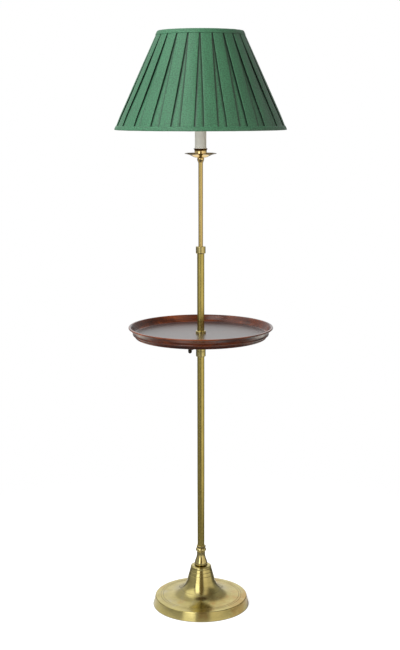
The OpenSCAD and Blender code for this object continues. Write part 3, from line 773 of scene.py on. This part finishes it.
def pleat_section(pitch, gap_a, gap_b, under, depth, crown, belly):
    """One box pleat from the middle of one gap to the middle of the next.

    Gives the distance along it, the depth below its face, and the painted shade of each point (0 to 1): full in the
    crevices under the faces' edges, fading out across the gap's floor and round onto the face.
    """
    back, mid = depth, depth * 0.5
    r_out, r_in = mid / 2, (back - mid) / 2
    half_a, half_b = gap_a / 2, gap_b / 2

    def side(half):
        s = np.array([0, 0.3, 0.6, 0.85, 1.0]) * half
        d = back - belly * (1 - (s / half) ** 2)
        s = np.append(s, half + under)
        d = np.append(d, back)
        turn = np.radians([-45, 0, 45, 90])
        s = np.append(s, half + under + r_in * np.cos(turn))
        d = np.append(d, (back + mid) / 2 - r_in * np.sin(turn))
        s = np.append(s, half + r_out + under * 0.35)
        d = np.append(d, mid)
        turn = np.radians([90, 135, 180, 225, 270])
        s = np.append(s, half + r_out + r_out * np.cos(turn))
        d = np.append(d, r_out + r_out * np.sin(turn))
        # painted shade for each point, darkest in the crevice under a face's edge and none on the face
        painted_shade = np.ones(len(s))
        painted_shade[:5] = 1 - smooth(0.4 * MM, 6.5 * MM, half - s[:5])
        painted_shade[-5:] = (1, 0.95, 0.7, 0.25, 0)
        return s, d, painted_shade

    s_a, d_a, painted_shade_a = side(half_a)
    s_b, d_b, painted_shade_b = side(half_b)
    t = np.linspace(0, 1, 11)[1:-1]
    face_s = s_a[-1] + t * (pitch - s_b[-1] - s_a[-1])
    face_d = -crown * (1 - (2 * t - 1) ** 2)
    parts = [s_a, face_s, pitch - s_b[::-1]], [d_a, face_d, d_b[::-1]], [painted_shade_a, 0 * face_s, painted_shade_b[::-1]]
    return [np.concatenate(part) for part in parts]


def pleated_cover(rows=40):
    """The box-pleated cloth: each pleat has a place, a lean and a gap of its own; f is 0 at the lower edge."""
    rng = np.random.default_rng(11)
    shift = rng.normal(0, 0.22, PLEATS)
    lean = rng.normal(0, 0.22, PLEATS)
    wide = rng.normal(0, 1.0, PLEATS) * MM
    phase = rng.uniform(0, TAU, (4, PLEATS))
    points, us, vs, painted_fold_shades = [], [], [], []
    for i in range(rows):
        f = i / (rows - 1)
        z = CLOTH_Z0 + f * (CLOTH_Z1 - CLOTH_Z0)
        face_r = shade_r(z) - (1.4 - 1.6 * (1 - f) ** 0.7 * smooth(0.0, 0.16, f)) * MM
        centre = -91.3 + 0.8 * f + 360 / PLEATS * np.arange(PLEATS) + shift * (1 - 0.5 * f) + lean * (f - 0.5)
        centre = centre + 0.10 * np.sin(f * 5 + phase[0])
        gap = (1 - f) * GAP_LOW + f * GAP_HIGH + wide * (1 - 0.75 * f)
        gap = gap + 0.5 * MM * np.sin(f * 4.2 + phase[1]) * (1 - f * 0.8)
        middle = math.sin(math.pi * f)
        depth = (2.6 + 2.0 * middle) * MM
        angle, inset, fold = [], [], []
        for k in range(PLEATS):
            nxt = (k + 1) % PLEATS
            turn = (centre[nxt] - centre[k]) % 360
            pitch = math.radians(turn) * face_r
            under = (9.5 + 2.5 * f) * MM
            crown = (0.10 + 0.28 * middle * (1 + 0.5 * math.sin(phase[2][k]))) * MM
            belly = 1.2 * MM * (1 - f) * (1 + 0.4 * math.sin(phase[3][k] + 2.2 * f))
            s, d, painted_shade = pleat_section(pitch, gap[k], gap[nxt], under, depth, crown, belly)
            if k:
                s, d, painted_shade = s[1:], d[1:], painted_shade[1:]
            if k == PLEATS - 1:
                s, d, painted_shade = s[:-1], d[:-1], painted_shade[:-1]
            angle.append(math.radians(centre[k]) + s / face_r)
            inset.append(d)
            fold.append(painted_shade)
        painted_fold_shades.append(np.concatenate(fold))
        angle, inset = np.concatenate(angle), np.concatenate(inset)
        soft = 0.16 * MM * middle * waves(angle, 5, 9, 4) * math.sin(3.1 * f + 0.6)
        soft = soft + 0.12 * MM * middle * waves(angle + 0.35 * f, 8, 27, 4)
        r = face_r - inset + soft
        row = np.stack([r * np.cos(angle), r * np.sin(angle), np.full(len(r), z)], 1)
        loop = np.vstack([row, row[:1]])
        u = np.append(0, np.cumsum(np.hypot(*(np.diff(loop[:, :2], axis=0).T))))
        us.append(u)
        vs.append(np.full(len(r), f * (CLOTH_Z1 - CLOTH_Z0) * SHADE_SLANT))
        points.append(row)
    us = np.array(us)
    us = us / us[:, -1:] * us[rows // 2, -1]
    cover = grid("shade_cover_pleated", np.array(points), us, np.array(vs))
    # the painted shade in the pleats' crevices, kept on each point for the cloth's material to darken by
    attribute = cover.data.attributes.new("fold", "FLOAT", "POINT")
    attribute.data.foreach_set("value", np.array(painted_fold_shades, np.float32).ravel())
    cloth = cover.modifiers.new("cloth_thickness", "SOLIDIFY")
    cloth.thickness = 0.28 * MM
    cloth.offset = -1
    return cover


def shade_band(name, edge_z, way, seed, seam):
    """The strip of the same cloth that is folded over one edge of the shade.

    way is 1 at the lower edge and -1 at the upper, and seam is the azimuth where its ends lap.
    """
    outside = [(1.5, 11), (0.55, 11.05), (0.1, 10.4), (-0.05, 8.5), (-0.1, 5.5), (0, 3), (0.35, 1.4), (1.3, 0.35),
               (2.8, 0.02), (5.5, 0), (8.3, 0.02), (10, 0.4), (10.9, 1.4), (11.1, 3), (11.1, 7), (11.05, 10.8)]
    inside = [(10.2, 10.9), (10.15, 7), (10.1, 2.6), (9.3, 1.35), (5.5, 1.15), (2.7, 1.3), (1.75, 2.4), (1.6, 6)]
    section = [(d * MM, edge_z + way * h * MM) for d, h in outside + inside]
    outline = np.array([(shade_r(z) - d, z) for d, z in section])
    if way < 0:
        outline = outline[::-1]
    p, t, _ = smooth_outline(outline, True, 0.3 * MM, corner=50, fine=14)
    angles = np.linspace(0, TAU, 300, endpoint=False)
    start = math.radians(seam)
    width = 12 * MM / shade_r(edge_z)
    fine = np.linspace(-0.004, 0.010, 8)
    fine = np.concatenate([start + fine, start + width - fine[::-1]])
    clear = [a for a in angles if min(abs((a - f + math.pi) % TAU - math.pi) for f in fine) > 0.004]
    angles = np.array(sorted(clear + [f % TAU for f in fine]))
    along = (angles - start) % TAU
    lap = smooth(-0.003, 0.003, along) * (1 - smooth(width - 0.003, width + 0.003, along))
    lap = lap + smooth(TAU - 0.003, TAU, along)
    points, us, vs = [], [], []
    run = 0.0
    for i in range(len(p)):
        if i:
            run += np.hypot(*(p[i] - p[i - 1]))
        outer = float(smooth(6 * MM, 1 * MM, shade_r(p[i][1]) - p[i][0]))
        ripple = 0.16 * MM * waves(angles, seed, 23, 6)
        ripple = ripple + 0.10 * MM * waves(angles + 8 * (p[i][1] - edge_z), seed + 1, 61, 6)
        push = outer * (ripple + 0.5 * MM * lap)
        r = p[i][0] + t[i][1] * push
        z = p[i][1] - t[i][0] * push + 0.10 * MM * waves(angles, seed + 2, 11, 5) * outer
        points.append(np.stack([r * np.cos(angles), r * np.sin(angles), z], 1))
        us.append(np.append(angles, angles[0] + TAU) * shade_r(edge_z))
        vs.append(np.full(len(angles), run))
    return grid(name, np.array(points), np.array(us), np.array(vs), close_rows=True)


def lining(rows=16, cols=384):
    """The lining, stretched over the frame's struts and a little slack between them."""
    angle = np.linspace(0, TAU, cols, endpoint=False)
    points, us, vs = [], [], []
    for i in range(rows):
        f = i / (rows - 1)
        z = CLOTH_Z0 + f * (CLOTH_Z1 - CLOTH_Z0)
        beside = np.abs((angle / TAU * STRUTS) % 1 - 0.5) * TAU / STRUTS * shade_r(z)
        seam = 0.30 * MM * np.exp(-(beside / (1.4 * MM)) ** 2)
        tension = 0.12 * MM * (f ** 3 + 0.4 * (1 - f) ** 3) * waves(angle, 31, 75, 8, 0.95)
        slack = 0.35 * MM * math.sin(math.pi * f) * (1 - np.cos(angle * STRUTS)) / 2
        r = shade_r(z) - 9.45 * MM - seam - tension - slack * 0.6
        points.append(np.stack([r * np.cos(angle), r * np.sin(angle), np.full(cols, z)], 1))
        us.append(np.append(angle, TAU) * shade_r((CLOTH_Z0 + CLOTH_Z1) / 2))
        vs.append(np.full(cols, f * (CLOTH_Z1 - CLOTH_Z0) * SHADE_SLANT))
    cloth = grid("shade_lining_cloth", np.array(points), np.array(us), np.array(vs))
    thick = cloth.modifiers.new("cloth_thickness", "SOLIDIFY")
    thick.thickness = 0.3 * MM
    thick.offset = 1
    return cloth


cover = finish_piece(pleated_cover(), "shade", SILK, ["shade_cover"])
band_low = shade_band("shade_trim_bottom_cloth", SHADE_Z0, way=1, seed=3, seam=-4.0)
finish_piece(band_low, "shade", SILK, ["shade_trim_bottom"])
band_high = shade_band("shade_trim_top_cloth", SHADE_Z1, way=-1, seed=9, seam=-6.0)
finish_piece(band_high, "shade", SILK, ["shade_trim_top"])
inside = finish_piece(lining(), "shade", LINING, ["shade_lining"])

# A painted glint: a pale ring at the foot of the candle tube, just over the cup's lip, in place of the light that the
# polished cup throws up onto the tube.
cup_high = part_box("candle_cup")[1].z
tube_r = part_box("candle_tube")[1].x
ring = np.array([(0.05, -0.6), (0.7, -0.6), (0.85, 1.4), (0.6, 2.3), (0.05, 2.6)]) * MM + (tube_r, cup_high)
p, t, edge = smooth_outline(ring, True, 0.3 * MM)
finish_piece(lathe("candle_foot_painted_glint", [(p, t, edge, True)]), "stem", CARD_PAINTED_GLINT)


# ---- Stage, camera and light ----

def soft_light(name, azimuth, distance, height, width, tall, power, aim):
    """A softbox that stands at that azimuth from the front and faces the lamp at the height aim."""
    data = bpy.data.lights.new(name, "AREA")
    data.shape, data.size, data.size_y = "RECTANGLE", width, tall
    data.energy = power
    obj = bpy.data.objects.new(name, data)
    a = math.radians(azimuth)
    obj.location = (distance * math.sin(a), -distance * math.cos(a), height)
    obj.rotation_euler = (Vector((0, 0, aim)) - obj.location).to_track_quat("-Z", "Y").to_euler()
    obj.visible_camera = False
    obj.visible_glossy = False
    bpy.context.scene.collection.objects.link(obj)


soft_light("key_high_left", azimuth=-47, distance=2.36, height=3.28, width=1.1, tall=1.1, power=120, aim=1.43)
soft_light("fill_front", azimuth=-32, distance=2.4, height=0.75, width=1.2, tall=0.9, power=21, aim=1.25)

# The room that the brass and the polish reflect, painted part by part over what is there: turn is the angle
# round from the front (+ to the right), rise the angle over the horizon, both in degrees.
world = bpy.data.worlds.new("studio")
bpy.context.scene.world = world
world.use_nodes = True
studio = Nodes(world.node_tree)
dx, dy, dz = studio.node("SeparateXYZ", {0: studio.node("TexCoord").outputs["Generated"]}).outputs
turn = studio.math("DEGREES", studio.math("ARCTAN2", dx, studio.times(dy, -1.0)))
rise = studio.math("DEGREES", studio.math("ARCTAN2", dz, studio.length(dx, dy)))
away = studio.math("ABSOLUTE", turn)


def window(value, low, low_full, high_full, high):
    """1 between the two full values and 0 beyond the outer ones."""
    return studio.times(studio.step(value, low, low_full), studio.step(value, high, high_full))


def grey(value, tint=(1.0, 1.0, 1.0)):
    """A number or a socket's value as a colour."""
    return studio.vector(*(studio.times(value, part) for part in tint))


def left_to_right(left, right):
    """A level that goes from left to right across the room's middle."""
    return studio.step(dx, -0.3, 0.3, left, right)


# dim walls, under a ceiling that is brighter on the left
room = studio.mix(studio.step(rise, 42, 70), (0.11, 0.11, 0.11), grey(left_to_right(0.75, 0.25)))
# pale backdrop behind the lamp, darker below the horizon and high up
backdrop = studio.times(studio.step(rise, 2, 20, 0.85, 1.05), studio.step(rise, 44, 60, 1.0, 0.6))
backdrop = studio.times(backdrop, studio.step(rise, -9, -3, 0.28, 1.0))
room = studio.mix(studio.step(away, 150, 166), room, grey(backdrop))
# panels at both sides, a little behind the lamp
sides = studio.times(studio.step(away, 92, 112), window(rise, -3, 3, 50, 64))
sides = studio.times(sides, studio.step(away, 166, 150))
room = studio.mix(sides, room, grey(left_to_right(0.60, 0.36)))
# left wall, bright in its upper half
wall_left = studio.add(studio.step(rise, -14, -4, 0.2, 0.42), studio.step(rise, 22, 36, 0.0, 1.0))
on_left = studio.times(window(turn, -125, -108, -58, -46), studio.step(rise, 76, 62))
room = studio.mix(on_left, room, grey(wall_left))
# low band across the front
front_low = studio.times(window(turn, -75, -66, 18, 26), window(rise, -12, -8, 1, 5))
room = studio.mix(front_low, room, (0.55, 0.55, 0.55))
# warm, dark gap where the camera stands
front_gap = studio.times(window(turn, -18, -12, 12, 19), window(rise, 1, 5, 70, 80))
room = studio.mix(front_gap, room, (0.17, 0.12, 0.06))
# bright strip light at the front left
in_strip = studio.times(window(turn, -45, -40, -17, -11), window(rise, -12, -7, 50, 60))
room = studio.mix(in_strip, room, grey(studio.step(rise, -2, 8, 1.2, 2.5)))
# broad warm card on the right, less bright high up and far round
card = studio.times(studio.step(turn, 35, 70, 1.15, 0.80), studio.step(rise, 16, 26, 1.0, 0.65))
card_far = studio.times(studio.step(rise, 16, 26), studio.step(turn, 42, 70, 0.0, 0.62))
card = studio.times(card, studio.math("SUBTRACT", 1.0, card_far))
on_card = studio.times(window(turn, 17, 25, 92, 118), window(rise, -28, -22, 62, 74))
room = studio.mix(on_card, room, grey(card, (1.0, 0.94, 0.86)))
# ground in front and to the left, and the lit ground behind
ground = studio.mix(studio.step(turn, -20, -60), (0.11, 0.11, 0.11), (0.25, 0.25, 0.25))
on_ground = studio.times(window(turn, -120, -100, 16, 24), studio.step(rise, -12, -15))
room = studio.mix(on_ground, room, ground)
ground_behind = studio.times(studio.step(away, 85, 105), window(rise, -76, -66, -27, -22))
room = studio.mix(ground_behind, room, (1.1, 1.05, 0.95))
# the camera itself sees plain white
room = studio.mix(studio.node("LightPath").outputs["Is Camera Ray"], room, (1.0, 1.0, 1.0))
backing = studio.node("Background", {"Color": room, "Strength": 1.0})
studio.tree.links.new(backing.outputs[0], studio.node("OutputWorld").inputs[0])

# The floor: white to the camera with a painted contact shadow, a dark line round the felt, and calm in reflections.
SHADOW_RING_INNER = (124.0 * MM, 122.0 * MM)    # the line is full at the first radius and gone at the second
SHADOW_RING_OUTER = (131.0 * MM, 134.5 * MM)
FLOOR_RADIUS = 1.3
floor_look = Look("pale_floor")
floor_r = floor_look.place()[2]
paint = floor_look.node("BsdfDiffuse", {"Color": (0.35, 0.35, 0.35)})
glow = floor_look.node("Emission", {"Color": (1, 1, 1), "Strength": 0.82})
bright = floor_look.node("AddShader", {0: paint.outputs[0], 1: glow.outputs[0]})
# painted shadow: a near-black ring of floor round the felt, where the base's shade would fall
gap = floor_look.node("BsdfDiffuse", {"Color": (0.02, 0.02, 0.02)})
outside_painted_shadow = floor_look.math("MAXIMUM", floor_look.step(floor_r, *SHADOW_RING_OUTER), floor_look.step(floor_r, *SHADOW_RING_INNER))
bright = floor_look.node("MixShader", {0: outside_painted_shadow, 1: gap.outputs[0], 2: bright.outputs[0]})
calm = floor_look.mix(floor_look.step(floor_r, 0.22, 0.42), (0.62, 0.62, 0.62), (0.13, 0.13, 0.13))
calm = floor_look.node("BsdfDiffuse", {"Color": calm})
to_camera = floor_look.node("LightPath").outputs["Is Camera Ray"]
lit = floor_look.node("MixShader", {0: to_camera, 1: calm.outputs[0], 2: bright.outputs[0]})
clear = floor_look.node("BsdfTransparent", {"Color": (1, 1, 1)})
fade = floor_look.step(floor_r, 0.55, 1.25)
both = floor_look.node("MixShader", {0: fade, 1: lit.outputs[0], 2: clear.outputs[0]})
floor_look.tree.links.new(both.outputs[0], floor_look.output.inputs[0])
disc = bmesh.new()
bmesh.ops.create_circle(disc, cap_ends=True, segments=96, radius=FLOOR_RADIUS)
floor_mesh = bpy.data.meshes.new("floor")
disc.to_mesh(floor_mesh)
disc.free()
floor = bpy.data.objects.new("floor", floor_mesh)
floor.location = (0, 0, -0.2 * MM)   # just under the felt
floor_mesh.materials.append(floor_look.material)
bpy.context.scene.collection.objects.link(floor)

CAMERA_TILT, CAMERA_ROLL = 79.88, -0.06    # degrees: up from straight down, and round the line of sight
camera_data = bpy.data.cameras.new("camera")
camera_data.sensor_width = 36
camera_data.lens = 67.35
camera = bpy.data.objects.new("camera", camera_data)
camera.location = (-0.0021, -3.210, 1.361)
camera.rotation_mode = "ZXY"
camera.rotation_euler = (math.radians(CAMERA_TILT), 0, math.radians(CAMERA_ROLL))
bpy.context.scene.collection.objects.link(camera)
bpy.context.scene.camera = camera
bpy.context.scene.view_settings.view_transform = "Standard"

bpy.context.view_layer.update()
